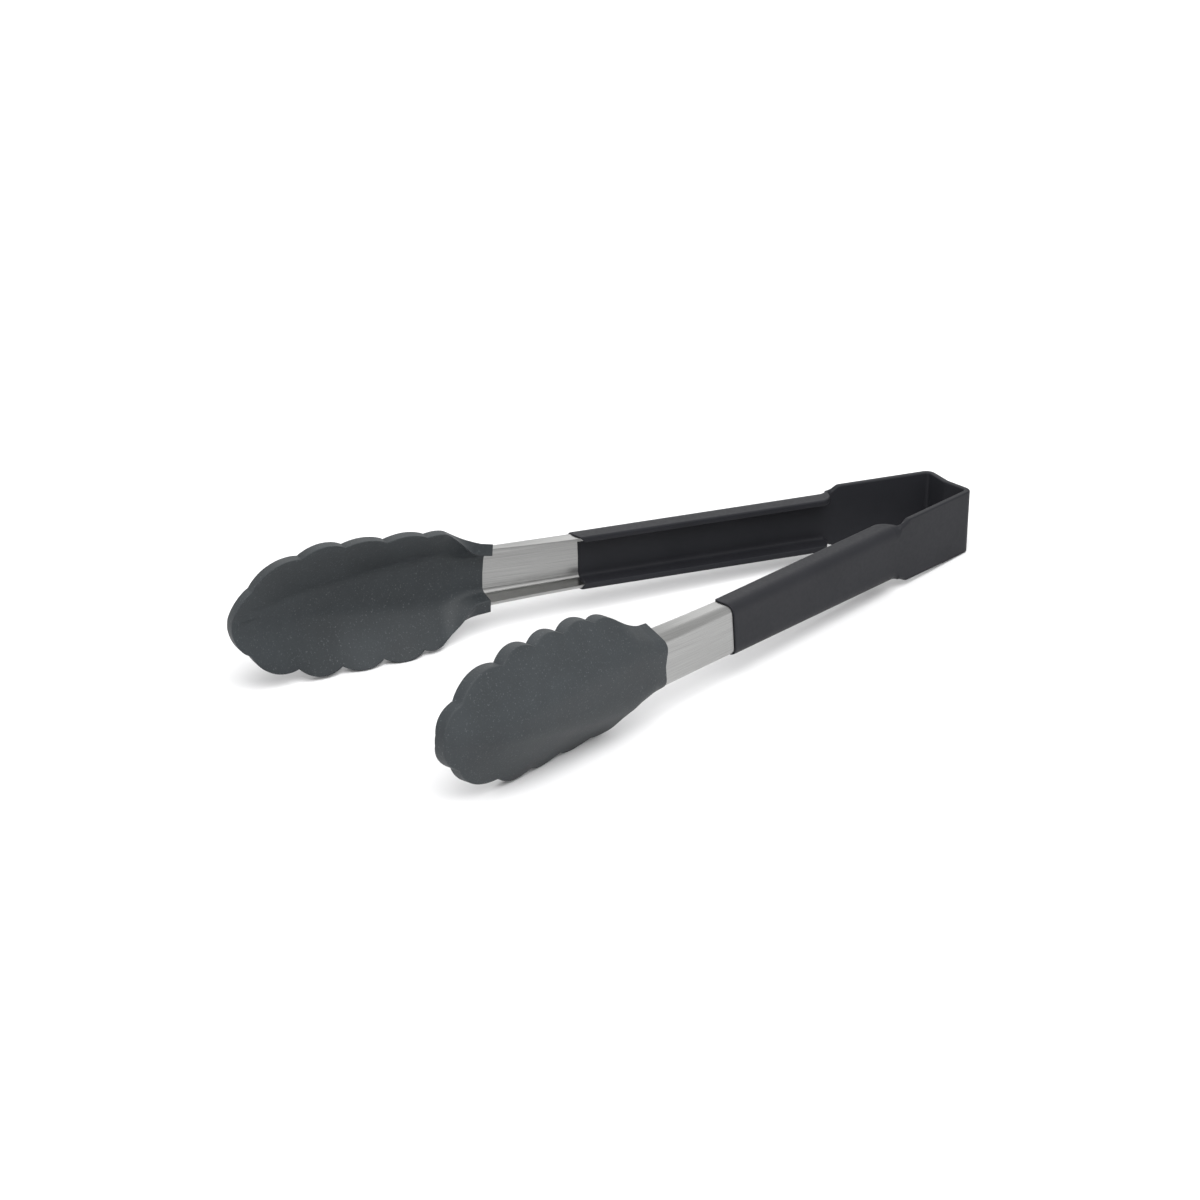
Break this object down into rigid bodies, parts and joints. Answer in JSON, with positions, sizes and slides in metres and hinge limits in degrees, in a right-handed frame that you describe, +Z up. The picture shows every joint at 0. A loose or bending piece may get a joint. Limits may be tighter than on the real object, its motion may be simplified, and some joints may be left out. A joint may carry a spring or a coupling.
{
  "type": "kitchen tongs",
  "caption": "Spring loaded kitchen tongs bent from one steel strip, with a dark dip coating on the handles and dished scalloped nylon covers on the heads.",
  "frame": {"origin": "centre of the bounding box on the surface that the tongs lie on, at rest on one side", "axes": "+X from the tips of the heads to the spring bow, +Y from the left arm to the right arm, +Z up, across the width of the strip"},
  "size_m": [0.2382, 0.1124, 0.0426],
  "materials": {
    "steel": "brushed along the arms",
    "grip_coating": "satin dip coating",
    "head_nylon": "fine matte grain"
  },
  "bodies": {
    "bow": {"spring_bow": "steel", "bow_coating": "grip_coating"},
    "left_arm": {"left_arm_steel": "steel", "left_handle_coating": "grip_coating", "left_head_cover": "head_nylon"},
    "right_arm": {"right_arm_steel": "steel", "right_handle_coating": "grip_coating", "right_head_cover": "head_nylon"}
  },
  "joints": [
    {"name": "right_arm_flex", "type": "hinge", "parent": "bow", "child": "right_arm", "pos_m": [0.10698, 0.01171, 0.01074], "axis": [0.0563, 0, 0.9984], "range_deg": [0, 12], "stiffness_Nm_per_rad": 3, "deforming": ["spring_bow", "bow_coating"]},
    {"name": "left_arm_flex", "type": "hinge", "parent": "bow", "child": "left_arm", "pos_m": [0.10698, -0.01171, 0.01074], "axis": [-0.0563, 0, -0.9984], "range_deg": [0, 12], "stiffness_Nm_per_rad": 3, "deforming": ["spring_bow", "bow_coating"]}
  ],
  "couplings": [
    {"joint": "left_arm_flex", "follows": "right_arm_flex", "ratio": 1}
  ]
}
